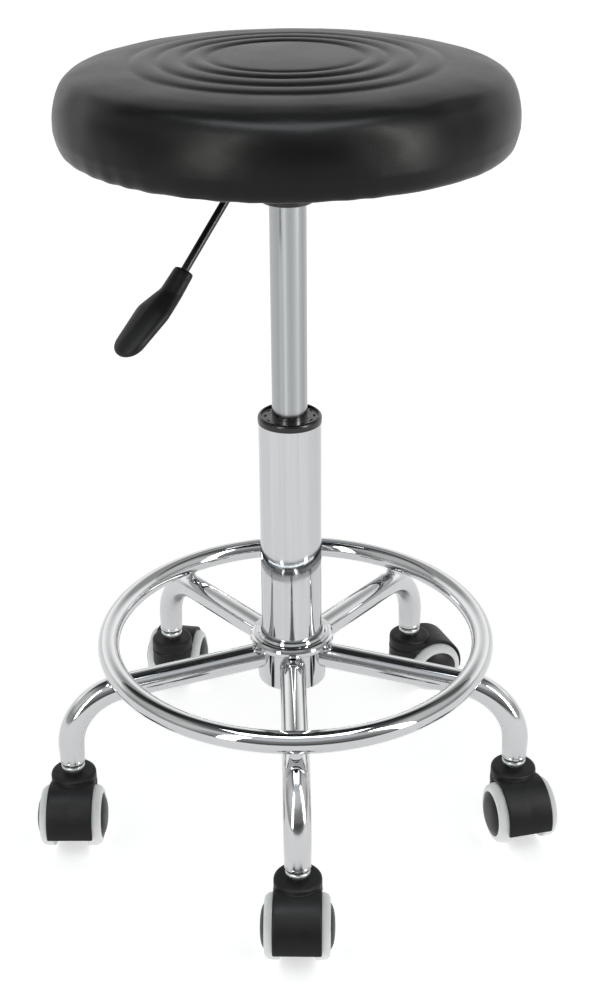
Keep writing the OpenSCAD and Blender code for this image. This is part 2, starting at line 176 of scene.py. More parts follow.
class Nodes:
    """A small shorthand for building a material's node tree."""

    def __init__(self, name):
        self.material = bpy.data.materials.new(name)
        self.material.use_nodes = True
        self.tree = self.material.node_tree
        self.tree.nodes.clear()
        self.out = self.tree.nodes.new("ShaderNodeOutputMaterial")
        self.bsdf = self.tree.nodes.new("ShaderNodeBsdfPrincipled")
        self.join(self.bsdf.outputs["BSDF"], self.out.inputs["Surface"])
        self.where = self.tree.nodes.new("ShaderNodeTexCoord").outputs["Object"]

    def join(self, a, b):
        self.tree.links.new(a, b)

    def set(self, **values):
        for k, v in values.items():
            self.bsdf.inputs[k.replace("_", " ")].default_value = v
        return self

    def put(self, name, value):
        socket = self.bsdf.inputs[name]
        if hasattr(value, "is_output") and value.is_output:
            self.join(value, socket)
        else:
            socket.default_value = value

    def node(self, kind, inputs=None, **settings):
        n = self.tree.nodes.new(kind)
        for k, v in settings.items():
            setattr(n, k, v)
        for k, v in (inputs or {}).items():
            if hasattr(v, "is_output") and v.is_output:
                self.join(v, n.inputs[k])
            else:
                n.inputs[k].default_value = v
        return n

    def scaled(self, s):
        return self.node("ShaderNodeMapping", {"Vector": self.where, "Scale": s if hasattr(s, "__len__") else (s, s, s)}).outputs["Vector"]

    def noise(self, scale, detail=3.0, rough=0.5, vector=None, distortion=0.0):
        return self.node(
            "ShaderNodeTexNoise",
            {"Vector": vector or self.where, "Scale": scale, "Detail": detail, "Roughness": rough, "Distortion": distortion},
        ).outputs["Fac"]

    def voronoi(self, scale, feature="F1", vector=None, randomness=1.0, output="Distance"):
        return self.node(
            "ShaderNodeTexVoronoi", {"Vector": vector or self.where, "Scale": scale, "Randomness": randomness}, feature=feature
        ).outputs[output]

    def math(self, op, a, b=0.0, c=0.0, clamp=False):
        return self.node("ShaderNodeMath", {0: a, 1: b, 2: c}, operation=op, use_clamp=clamp).outputs[0]

    def remap(self, value, a, b, c, d):
        return self.node(
            "ShaderNodeMapRange", {"Value": value, "From Min": a, "From Max": b, "To Min": c, "To Max": d}
        ).outputs["Result"]

    def ramp(self, value, stops):
        n = self.node("ShaderNodeValToRGB", {"Fac": value})
        el = n.color_ramp.elements
        while len(el) < len(stops):
            el.new(0.5)
        for e, (p, c) in zip(el, stops):
            e.position = p
            e.color = (*c, 1) if hasattr(c, "__len__") else (c, c, c, 1)
        return n.outputs["Color"]

    def mix(self, f, a, b, kind="MIX"):
        n = self.tree.nodes.new("ShaderNodeMix")
        n.data_type = "RGBA"
        n.blend_type = kind
        for socket, v in ((n.inputs[0], f), (n.inputs[6], a), (n.inputs[7], b)):
            if hasattr(v, "is_output") and v.is_output:
                self.join(v, socket)
            elif hasattr(v, "__len__"):
                socket.default_value = (*v[:3], 1)
            else:
                socket.default_value = v if socket is n.inputs[0] else (v, v, v, 1)
        return n.outputs[2]

    def bump(self, height, strength, distance, normal=None):
        ins = {"Height": height, "Strength": strength, "Distance": distance}
        if normal is not None:
            ins["Normal"] = normal
        return self.node("ShaderNodeBump", ins).outputs["Normal"]


def chrome(name, base=(0.565, 0.573, 0.578), rough=0.03):
    m = Nodes(name).set(Metallic=1.0)
    haze = m.noise(60, 4)
    m.put("Base Color", m.mix(m.remap(m.noise(14, 3), 0.35, 0.7, 0, 1), base, tuple(c * 0.955 for c in base)))
    fine = m.noise(900, 2, 0.6, m.scaled((1, 1, 0.15)))
    # a plated bend comes out duller than straight tube
    xyz = m.node("ShaderNodeSeparateXYZ", {"Vector": m.where})
    out = m.math("SQRT", m.math("ADD", m.math("MULTIPLY", xyz.outputs["X"], xyz.outputs["X"]), m.math("MULTIPLY", xyz.outputs["Y"], xyz.outputs["Y"])))
    rise = m.math("SUBTRACT", xyz.outputs["Z"], 0.0821)
    off = m.math("SUBTRACT", out, 0.1443)
    inner = m.remap(m.math("SQRT", m.math("ADD", m.math("MULTIPLY", rise, rise), m.math("MULTIPLY", off, off))), 0.040, 0.046, 1.0, 0.0)
    inner = m.math("MULTIPLY", inner, m.math("MULTIPLY", m.remap(out, 0.150, 0.160, 0.0, 1.0), m.remap(xyz.outputs["Z"], 0.066, 0.080, 0.0, 1.0)))
    bend = m.math("ADD", m.remap(out, 0.168, 0.186, 0.0, 0.11), m.math("MULTIPLY", inner, 0.30))
    m.put("Roughness", m.math("ADD", bend, m.math("ADD", m.remap(haze, 0.35, 0.75, rough * 0.6, rough * 1.9), m.remap(fine, 0.5, 0.8, 0.0, 0.02))))
    # the faint orange peel of plated tube
    m.put("Normal", m.bump(m.noise(75, 2), 0.05, 0.0006, m.bump(m.noise(420, 2), 0.03, 0.0002)))
    return m.material


def satin_chrome(name, base=(0.575, 0.585, 0.592)):
    """Plated tube polished lengthwise: faint streaks along it, and painted shade that darkens its colour towards the
    sides as seen from the front.
    """
    m = Nodes(name).set(Metallic=1.0)
    xyz = m.node("ShaderNodeSeparateXYZ", {"Vector": m.where})
    turn = m.math("ARCTAN2", xyz.outputs["X"], m.math("MULTIPLY", xyz.outputs["Y"], -1.0))
    around = m.node("ShaderNodeCombineXYZ", {"X": turn, "Y": m.math("MULTIPLY", xyz.outputs["Z"], 0.5), "Z": 0.0}).outputs[0]
    fine = m.noise(42.0, 3, 0.6, around)
    broad = m.noise(4.5, 2, 0.5, around)
    # painted shade: the colour darkens away from the front towards the tube's sides
    side = m.remap(m.math("COSINE", m.math("SUBTRACT", turn, -0.12)), 0.25, 0.95, 0.55, 0.0)
    streaks_and_painted_edge_shade = m.math("ADD", side, m.math("ADD", m.remap(fine, 0.3, 0.7, 0.0, 0.22), m.remap(broad, 0.3, 0.7, 0.0, 0.42)), clamp=True)
    m.put("Base Color", m.mix(streaks_and_painted_edge_shade, tuple(c * 1.05 for c in base), tuple(c * 0.80 for c in base)))
    m.put("Roughness", m.math("ADD", m.remap(fine, 0.3, 0.7, 0.03, 0.06), m.remap(m.noise(60, 4), 0.35, 0.75, 0.0, 0.04)))
    m.put("Normal", m.bump(m.noise(75, 2), 0.04, 0.0005))
    return m.material


def drawn(name, base=(0.50, 0.515, 0.515), rough=0.2):
    """Drawn and polished steel tube: hair-fine lines along it, a few broader streaks, painted highlight and shade bands
    at set angles round it, and a painted lighter front.
    """
    m = Nodes(name).set(Metallic=1.0)
    xyz = m.node("ShaderNodeSeparateXYZ", {"Vector": m.where})
    turn = m.math("ARCTAN2", xyz.outputs["X"], m.math("MULTIPLY", xyz.outputs["Y"], -1.0))
    along = m.math("MULTIPLY", xyz.outputs["Z"], 1.2)
    around = m.node("ShaderNodeCombineXYZ", {"X": m.math("MULTIPLY", turn, 1.0), "Y": along, "Z": 0.0}).outputs[0]
    hair = m.noise(70.0, 4, 0.65, m.node("ShaderNodeMapping", {"Vector": around, "Scale": (1.0, 0.03, 1.0)}).outputs[0])
    broad = m.noise(5.0, 2, 0.5, m.node("ShaderNodeMapping", {"Vector": around, "Scale": (1.0, 0.02, 1.0)}).outputs[0])
    streak = m.math("ADD", m.math("MULTIPLY", hair, 0.45), m.math("MULTIPLY", broad, 0.55))
    # painted reflections: bright highlight streaks and darker bands at set angles from the front, put into the colour
    painted_reflection_bands = None
    for at, width, height in ((-0.187, 0.075, 0.15), (0.49, 0.10, 0.13), (-1.9, 0.1, 0.12), (2.6, 0.12, 0.14), (1.9, 0.1, 0.1), (0.16, 0.2, -0.05), (-0.62, 0.22, -0.06), (0.85, 0.16, -0.07)):
        d = m.math("DIVIDE", m.math("SUBTRACT", turn, at), width)
        bell = m.math("MULTIPLY", m.math("EXPONENT", m.math("MULTIPLY", m.math("MULTIPLY", d, d), -1.0)), height)
        painted_reflection_bands = bell if painted_reflection_bands is None else m.math("ADD", painted_reflection_bands, bell)
    # painted light: the side facing the front is coloured lighter than the back
    edge = m.remap(m.math("COSINE", turn), -1.0, 1.0, 0.0, 0.10)
    value = m.math("ADD", m.math("ADD", m.remap(streak, 0.3, 0.7, 0.30, 0.46), painted_reflection_bands), edge, clamp=True)
    m.put("Base Color", m.mix(value, (0.02, 0.021, 0.021), tuple(min(1, c * 1.6) for c in base)))
    m.put("Roughness", m.remap(hair, 0.3, 0.7, rough - 0.05, rough + 0.08))
    m.put("Normal", m.bump(hair, 0.06, 0.0002))
    return m.material


def zinc(name, base=(0.62, 0.66, 0.64)):
    m = Nodes(name).set(Metallic=1.0)
    spangle = m.voronoi(260, output="Color")
    grey = m.node("ShaderNodeSeparateColor", {"Color": spangle}).outputs[0]
    m.put("Base Color", m.mix(m.remap(grey, 0, 1, 0, 1), tuple(c * 0.86 for c in base), tuple(min(1, c * 1.08) for c in base)))
    m.put("Roughness", m.remap(m.noise(500, 4), 0.3, 0.7, 0.24, 0.42))
    m.put("Normal", m.bump(m.noise(1400, 3), 0.1, 0.0002))
    return m.material


def plastic(name, base, rough=0.42, grain=0.18, scale=2300, spec=0.5, mottle=0.15):
    """Moulded plastic with a fine spark-eroded grain."""
    m = Nodes(name)
    m.bsdf.inputs["Specular IOR Level"].default_value = spec
    blotch = m.noise(55, 4, 0.55)
    m.put("Base Color", m.mix(m.remap(blotch, 0.3, 0.7, 0, 1), tuple(c * (1 - mottle) for c in base), tuple(c * (1 + mottle) for c in base)))
    pits = m.voronoi(scale, "SMOOTH_F1")
    m.put("Roughness", m.math("ADD", m.remap(m.noise(120, 4), 0.3, 0.7, rough - 0.05, rough + 0.06), m.remap(pits, 0.2, 0.8, 0.03, -0.03)))
    m.put("Normal", m.bump(m.math("ADD", pits, m.math("MULTIPLY", m.noise(scale * 0.6, 3), 0.6)), grain, 0.00012))
    return m.material


def rubber(name, base=(0.87, 0.885, 0.87), rough=0.5):
    m = Nodes(name)
    m.bsdf.inputs["Specular IOR Level"].default_value = 0.4
    m.bsdf.inputs["Subsurface Weight"].default_value = 0.06
    m.bsdf.inputs["Subsurface Scale"].default_value = 0.002
    dirt = m.remap(m.noise(70, 5, 0.6), 0.48, 0.72, 0, 0.55)
    m.put("Base Color", m.mix(dirt, base, tuple(c * 0.86 for c in base)))
    m.put("Roughness", m.remap(m.noise(150, 4), 0.3, 0.7, rough - 0.07, rough + 0.08))
    m.put("Normal", m.bump(m.noise(1500, 3), 0.08, 0.0002))
    return m.material


def vinyl(name):
    """Soft black coated fabric: fine pebbled grain with hair-fine creases between the pebbles."""
    m = Nodes(name)
    m.bsdf.inputs["Specular IOR Level"].default_value = 0.195
    m.bsdf.inputs["Sheen Weight"].default_value = 0.01
    m.bsdf.inputs["Sheen Roughness"].default_value = 0.45
    m.bsdf.inputs["Sheen Tint"].default_value = (0.75, 0.77, 0.8, 1)
    warp = m.noise(160, 2)
    vector = m.node(
        "ShaderNodeVectorMath", {0: m.where, 1: m.node("ShaderNodeVectorMath", {0: m.node("ShaderNodeCombineXYZ", {"X": warp, "Y": warp, "Z": warp}).outputs[0], "Scale": 0.004}, operation="SCALE").outputs[0]}, operation="ADD"
    ).outputs[0]
    pebble = m.voronoi(760, "DISTANCE_TO_EDGE", vector)
    pebble_s = m.remap(pebble, 0.0, 0.16, 0.0, 1.0)
    fine = m.noise(2600, 3, 0.6)
    broad = m.noise(22, 4, 0.5)
    m.put("Base Color", m.mix(m.remap(broad, 0.3, 0.7, 0, 1), (0.0030, 0.0031, 0.0032), (0.0042, 0.0041, 0.0040)))
    rough = m.math("ADD", m.remap(broad, 0.3, 0.7, 0.28, 0.335), m.remap(pebble_s, 0, 1, 0.08, 0.0))
    m.put("Roughness", rough)
    coarse = m.bump(m.noise(46, 3, 0.5), 0.05, 0.0008)
    grain = m.bump(m.math("ADD", pebble_s, m.math("MULTIPLY", fine, 0.35)), 0.27, 0.00008, coarse)
    m.put("Normal", grain)
    return m.material


def wood(name):
    m = Nodes(name)
    vector = m.scaled((3, 26, 26))
    warp = m.noise(4, 4, 0.6, vector)
    rings = m.node("ShaderNodeTexWave", {"Vector": vector, "Scale": 2.2, "Distortion": 7.0, "Detail": 3.0, "Detail Scale": 1.2}, wave_type="BANDS", bands_direction="Y").outputs["Fac"]
    pore = m.noise(1.0, 4, 0.6, m.scaled((60, 1700, 1700)))
    c = m.ramp(m.math("ADD", m.math("MULTIPLY", rings, 0.6), m.math("MULTIPLY", warp, 0.4)), [(0.15, (0.42, 0.28, 0.16)), (0.55, (0.60, 0.44, 0.27)), (0.9, (0.70, 0.54, 0.36))])
    # the plies show on the edge as level stripes
    plies = m.node("ShaderNodeTexWave", {"Vector": m.where, "Scale": 110.0, "Distortion": 0.3}, wave_type="BANDS", bands_direction="Z").outputs["Fac"]
    c = m.mix(m.remap(plies, 0.45, 0.55, 0.0, 0.25), c, (0.33, 0.21, 0.12))
    c = m.mix(m.remap(pore, 0.55, 0.7, 0, 0.5), c, (0.26, 0.16, 0.09))
    # the underside is coloured near-black
    xyz = m.node("ShaderNodeSeparateXYZ", {"Vector": m.where})
    c = m.mix(m.remap(xyz.outputs["Z"], 0.5692, 0.5698, 1.0, 0.0), c, m.mix(m.remap(pore, 0.5, 0.7, 0, 1), (0.006, 0.006, 0.006), (0.014, 0.012, 0.011)))
    m.put("Base Color", c)
    m.put("Roughness", m.remap(pore, 0.3, 0.7, 0.55, 0.75))
    m.put("Normal", m.bump(pore, 0.3, 0.0003))
    return m.material


def coated(name, base=(0.004, 0.004, 0.0045), rough=0.26):
    """Black powder coat on steel."""
    m = Nodes(name)
    m.put("Base Color", m.mix(m.remap(m.noise(35, 4), 0.3, 0.7, 0, 1), base, tuple(c * 1.7 for c in base)))
    m.put("Roughness", m.remap(m.noise(90, 4), 0.3, 0.7, rough - 0.06, rough + 0.1))
    m.put("Normal", m.bump(m.noise(620, 2), 0.22, 0.0003))
    return m.material


CHROME = chrome("chrome_plate")
SATIN = satin_chrome("chrome_plate_satin")
BRUSHED = drawn("drawn_steel")
ZINC = zinc("zinc_plate")
BUSH = plastic("bush_nylon", (0.005, 0.005, 0.0055), 0.26, 0.10)
GUIDE = plastic("guide_nylon", (0.05, 0.05, 0.055), 0.4)
BLACK_RUBBER = plastic("black_rubber", (0.018, 0.018, 0.018), 0.62, 0.25, 1400, 0.35)
VINYL = vinyl("seat_vinyl_black")
WOOD = wood("plywood_board")
COAT = coated("powder_coat_black")
HANDLE = plastic("handle_plastic_satin", (0.0050, 0.0050, 0.0055), 0.46, 0.22, 1900, 0.26)
HOOD = plastic("hood_plastic_black", (0.0048, 0.0048, 0.005), 0.46, 0.24, 2000, 0.24)
CORE = plastic("wheel_core_plastic", (0.012, 0.0118, 0.012), 0.42, 0.15, 2200, 0.3)
TREAD = rubber("tread_rubber_grey")

BY_SLOT = {
    "chrome": CHROME, "bush_plastic": BUSH, "brushed_steel": BRUSHED, "zinc_steel": ZINC,
    "guide_plastic": GUIDE, "black_rubber": BLACK_RUBBER, "seat_vinyl": VINYL, "foam": VINYL,
    "plywood": WOOD, "black_paint": COAT, "handle_plastic": HANDLE, "hood_plastic": HOOD,
    "core_plastic": CORE, "tread_rubber": TREAD,
}
for sub in frame["record"]["subparts"]:
    node = frame["nodes"].get(sub["node"])
    if node is None:
        continue
    node.data.materials.clear()
    node.data.materials.append(SATIN if sub["node"] == "column_tube" else BY_SLOT[sub["material_slot"]])

# ------------------------------------------------------------------ camera

PITCH, YAW, ROLL = math.radians(26.53), math.radians(0.39), math.radians(-0.43)
forward = Vector((math.sin(YAW) * math.cos(PITCH), math.cos(YAW) * math.cos(PITCH), -math.sin(PITCH)))
right = Vector((math.cos(YAW), -math.sin(YAW), 0))
up = right.cross(forward)
r2 = math.cos(ROLL) * right + math.sin(ROLL) * up
u2 = -math.sin(ROLL) * right + math.cos(ROLL) * up
cam_data = bpy.data.cameras.new("camera")
cam_data.sensor_width = 36.0
cam_data.lens = 57.44
cam_data.clip_start = 0.05
cam_data.clip_end = 60
cam = link(bpy.data.objects.new("camera", cam_data))
cam.matrix_world = Matrix(
    ((r2.x, u2.x, -forward.x, -0.00224), (r2.y, u2.y, -forward.y, -1.1486), (r2.z, u2.z, -forward.z, 0.8512), (0, 0, 0, 1))
)
scene.camera = cam

# ------------------------------------------------------------------ studio


def make_floor():
    m = Nodes("floor_paper")
    m.put("Base Color", m.mix(m.remap(m.noise(3, 4), 0.3, 0.7, 0, 1), (0.90, 0.90, 0.90), (0.93, 0.93, 0.93)))
    m.put("Roughness", 0.85)
    m.bsdf.inputs["Specular IOR Level"].default_value = 0.05
    m.bsdf.inputs["Emission Color"].default_value = (1, 1, 1, 1)
    m.bsdf.inputs["Emission Strength"].default_value = 0.55
    s = 14.0
    floor = new_object("floor", [(-s, -s, -0.0004), (s, -s, -0.0004), (s, s, -0.0004), (-s, s, -0.0004)], [(0, 1, 2, 3)], m.material, False)


def make_world():
    """A studio seen by direction: a lit backdrop behind, a dark ceiling, a high lit panel in front, a dark room below it."""
    world = bpy.data.worlds.new("studio")
    scene.world = world
    world.use_nodes = True
    t = world.node_tree
    t.nodes.clear()
    out = t.nodes.new("ShaderNodeOutputWorld")
    bg = t.nodes.new("ShaderNodeBackground")
    t.links.new(bg.outputs[0], out.inputs[0])
    where = t.nodes.new("ShaderNodeTexCoord")
    xyz = t.nodes.new("ShaderNodeSeparateXYZ")
    t.links.new(where.outputs["Generated"], xyz.inputs[0])

    def ramp(stops):
        n = t.nodes.new("ShaderNodeValToRGB")
        el = n.color_ramp.elements
        while len(el) < len(stops):
            el.new(0.5)
        for e, (deg, c) in zip(el, stops):
            e.position = math.sin(math.radians(deg))
            e.color = (c[0], c[1], c[2], 1)
        t.links.new(xyz.outputs["Z"], n.inputs["Fac"])
        return n.outputs["Color"]

    def node(op, a, b=0.0):
        n = t.nodes.new("ShaderNodeMath")
        n.operation = op
        for k, v in enumerate((a, b)):
            if hasattr(v, "is_output"):
                t.links.new(v, n.inputs[k])
            else:
                n.inputs[k].default_value = v
        return n.outputs[0]

    def step(value, lo, hi):
        n = t.nodes.new("ShaderNodeMapRange")
        n.interpolation_type = "SMOOTHSTEP"
        n.inputs["From Min"].default_value, n.inputs["From Max"].default_value = lo, hi
        t.links.new(value, n.inputs["Value"])
        return n.outputs["Result"]

    def mix(f, a, b):
        n = t.nodes.new("ShaderNodeMix")
        n.data_type = "RGBA"
        t.links.new(f, n.inputs[0])
        t.links.new(a, n.inputs[6])
        t.links.new(b, n.inputs[7])
        return n.outputs[2]

    g = lambda v, blue=0.0: (v * (1 - blue), v, v * (1 + blue))
    back = ramp([(0, g(1.0)), (16, g(1.05)), (24, g(1.0)), (31, g(0.66)), (39, g(0.06)), (56, g(0.03)), (68, g(0.10, 0.1)), (90, g(0.25, 0.12))])
    sides = ramp([(0, g(0.48)), (14, g(0.40)), (24, g(0.66)), (48, g(0.72)), (60, g(0.28)), (70, g(0.10, 0.1)), (90, g(0.25, 0.12))])
    front = ramp([(0, g(0.25)), (8, g(0.10)), (26, g(0.11)), (34, g(0.22, 0.04)), (43, g(0.62, 0.04)), (58, g(0.70, 0.04)), (76, g(0.40, 0.08)), (90, g(0.25, 0.12))])
    flat = node("SQRT", node("ADD", node("MULTIPLY", xyz.outputs["X"], xyz.outputs["X"]), node("MULTIPLY", xyz.outputs["Y"], xyz.outputs["Y"])))
    ahead = node("DIVIDE", xyz.outputs["Y"], node("MAXIMUM", flat, 0.001))
    colour = mix(step(ahead, 0.10, 0.55), sides, back)
    colour = mix(step(ahead, -0.45, -0.80), colour, front)
    t.links.new(colour, bg.inputs["Color"])
    bg.inputs["Strength"].default_value = 1.0


def softbox(name, at, aim, size, power, color=(1, 1, 1), mirrored=True, lights=True):
    data = bpy.data.lights.new(name, "AREA")
    data.shape = "RECTANGLE"
    data.size, data.size_y = size
    data.energy = power
    data.color = color
    obj = link(bpy.data.objects.new(name, data))
    obj.location = at
    obj.rotation_euler = (Vector(aim) - Vector(at)).to_track_quat("-Z", "Y").to_euler()
    obj.visible_glossy = mirrored
    obj.visible_camera = False
    obj.visible_diffuse = lights
    return obj


make_floor()
make_world()
softbox("key_left", (-1.08, -1.52, 1.35), (0, -0.1, 1.1), (0.34, 2.2), 23, (1.0, 0.985, 0.94), lights=False)
softbox("key_right", (1.56, -0.99, 1.45), (0, -0.1, 1.2), (0.34, 2.4), 38, (1.0, 0.985, 0.95), lights=False)
softbox("overhead", (0.0, -0.25, 2.6), (0, -0.25, 0.0), (1.7, 1.0), 36, (0.92, 0.97, 1.0), lights=False)
softbox("wash", (0.0, 0.0, 4.2), (0, 0, 0.0), (8.0, 8.0), 66, mirrored=False)
# white flags hung at the height of the seat's underside, which only the plated base mirrors
for flag, x, y, w, d, level in (("flag_back", 0, 0.98, 3.2, 1.4, 0.40), ("flag_front", 0, -0.98, 3.2, 1.4, 0.15), ("flag_right", 0.94, 0, 1.32, 0.56, 0.10)):
    softbox(flag, (x, y, 0.56), (x, y, 0.0), (w, d), level * math.pi * w * d, lights=False)

# ------------------------------------------------------------------ the part's own sizes, mm

SEAT_R, SEAT_TOP, SEAT_DOME, SEAT_BOTTOM = 167.0, 628.8, 5.6, 567.6
BOARD_R, BOARD_Z, BOARD_T = 150.0, 569.0, 12.0
STAPLES, STAPLE_R = 30, 134.0
LEG_TURN = (0.4, 0.6, 0.0, 0.0, -1.1)
LEG_EXTRA = (2.5, 0.0, 0.0, 0.0, -0.6)
CASTER_TURN = (-1.8, 13.4, 111.0, 170.5, -0.8)
LEG_REACH, LEG_R, BEND_Z, LEG_SLOPE, LEG_BEND, SLEEVE_R = 192.3, 10.7, 82.1, 3.4, 48.0, 28.4
TRAIL, WHEEL_R, NECK_Z = 19.0, 25.0, 56.8


def spin(deg):
    return Matrix.Rotation(math.radians(deg), 4, "Z")


def leg_angle(i):
    return -90 + 0.3 + LEG_TURN[i - 1] + 72 * (i - 1)


def caster_frame(i):
    """Origin on the floor under the stem, +X along the trail, +Y along the axle."""
    a = leg_angle(i)
    return spin(a) @ Matrix.Translation(((LEG_REACH + LEG_EXTRA[i - 1]) * MM, 0, 0)) @ spin(CASTER_TURN[i - 1] - a - 90)


# ------------------------------------------------------------------ cushion


def cushion_outline(inset=0.0):
    """Half outline (r, z), mm, from the middle of the top to the lower edge at the board."""
    p = 2 / 2.4

    def fall(r):
        """Extra drop that turns the top into the shoulder without a break."""
        x = max(0.0, r - 141)
        return 1.4 * math.exp(-(((r - 150) / 10) ** 2)) + 0.117 * x * math.exp(-x / 8)

    pts = [(r, SEAT_TOP - inset) for r in (0.0, 12.0, 24.0, 36.0)]
    pts += [(r, SEAT_TOP - inset - SEAT_DOME * max(0.0, (r - 45) / 96) ** 2 - fall(r)) for r in np.linspace(45, 141, 40)[:-1]]
    for a in np.radians(np.linspace(90, 0, 44)):
        r = 141 + (26 - inset) * max(math.cos(a), 0) ** p
        pts.append((r, SEAT_TOP - SEAT_DOME - 40.6 + (40.6 - inset) * max(math.sin(a), 0) ** p - fall(r)))
    for a in np.radians(np.linspace(27, 90, 22)):
        pts.append((SEAT_R - 8.4 + (8.4 - inset) * max(math.cos(a), 0) ** p, SEAT_BOTTOM + 22.2 - (22.2 - inset) * max(math.sin(a), 0) ** p))
    return pts


def resample(pts, step):
    pts = np.array(pts, float)
    d = np.r_[0, np.cumsum(np.linalg.norm(np.diff(pts, axis=0), axis=1))]
    n = max(2, int(round(d[-1] / step)))
    t = np.linspace(0, d[-1], n + 1)
    return np.c_[np.interp(t, d, pts[:, 0]), np.interp(t, d, pts[:, 1])]


def swell_cushion():
    """Cloth: a slightly small, even quad skin, stapled under its rim, swells under a light pressure."""
    pts = [tuple(p) for p in resample(cushion_outline(3.2) + [(0.0, SEAT_BOTTOM + 3.2)], 4.0)]
    pts[0], pts[-1] = (0.0, pts[0][1]), (0.0, pts[-1][1])
    skin = lathe("skin", pts, None, 160, closed=False)
    remesh = skin.modifiers.new("even", "REMESH")
    remesh.mode = "VOXEL"
    remesh.voxel_size = 0.0055
    apply_modifiers(skin)
    rest = np.array([v.co for v in skin.data.vertices], float)
    r = np.hypot(rest[:, 0], rest[:, 1]) / MM
    angle = np.degrees(np.arctan2(rest[:, 1], rest[:, 0]))
    under = rest[:, 2] / MM < SEAT_BOTTOM + 6.5
    step = 360 / STAPLES
    off = np.abs(((angle - step / 2) + step / 2) % step - step / 2) * np.pi / 180 * STAPLE_R
    held = under & ((r < 127) | ((r < 140) & (off < 6.5)))
    group = skin.vertex_groups.new(name="held")
    group.add([int(k) for k in np.flatnonzero(held)], 1.0, "REPLACE")
    cloth = skin.modifiers.new("cloth", "CLOTH")
    s = cloth.settings
    s.quality = 6
    s.mass = 0.3
    s.use_pressure = True
    s.uniform_pressure_force = 4.0
    s.effector_weights.gravity = 0.0
    s.vertex_group_mass = "held"
    s.bending_stiffness = 1.2
    cloth.point_cache.frame_start, cloth.point_cache.frame_end = 1, 20
    for f in range(1, 21):
        scene.frame_set(f)
    dg = bpy.context.evaluated_depsgraph_get()
    done = np.array([v.co for v in skin.evaluated_get(dg).data.vertices], float)
    skin.modifiers.clear()
    scene.frame_set(1)
    move = done - rest
    size = np.linalg.norm(move, axis=1)
    move *= np.minimum(1.0, 0.0055 / np.maximum(size, 1e-9))[:, None]
    skin.data.vertices.foreach_set("co", (rest + move).astype(np.float32).ravel())
    skin.data.update()
    print("cushion cloth: moved", round(float(size.max()) * 1000, 2), "mm at most,", round(float(size.mean()) * 1000, 2), "mm mean")
    return skin


def noise_grid(x, y, z, scale, seed):
    """Smooth noise at each point of three equal arrays."""
    out = np.empty(x.size)
    for k, (a, b, c) in enumerate(zip(x.ravel(), y.ravel(), z.ravel())):
        out[k] = noise.noise(Vector((a * scale + seed, b * scale - seed, c * scale + 2 * seed)))
    return out.reshape(x.shape)


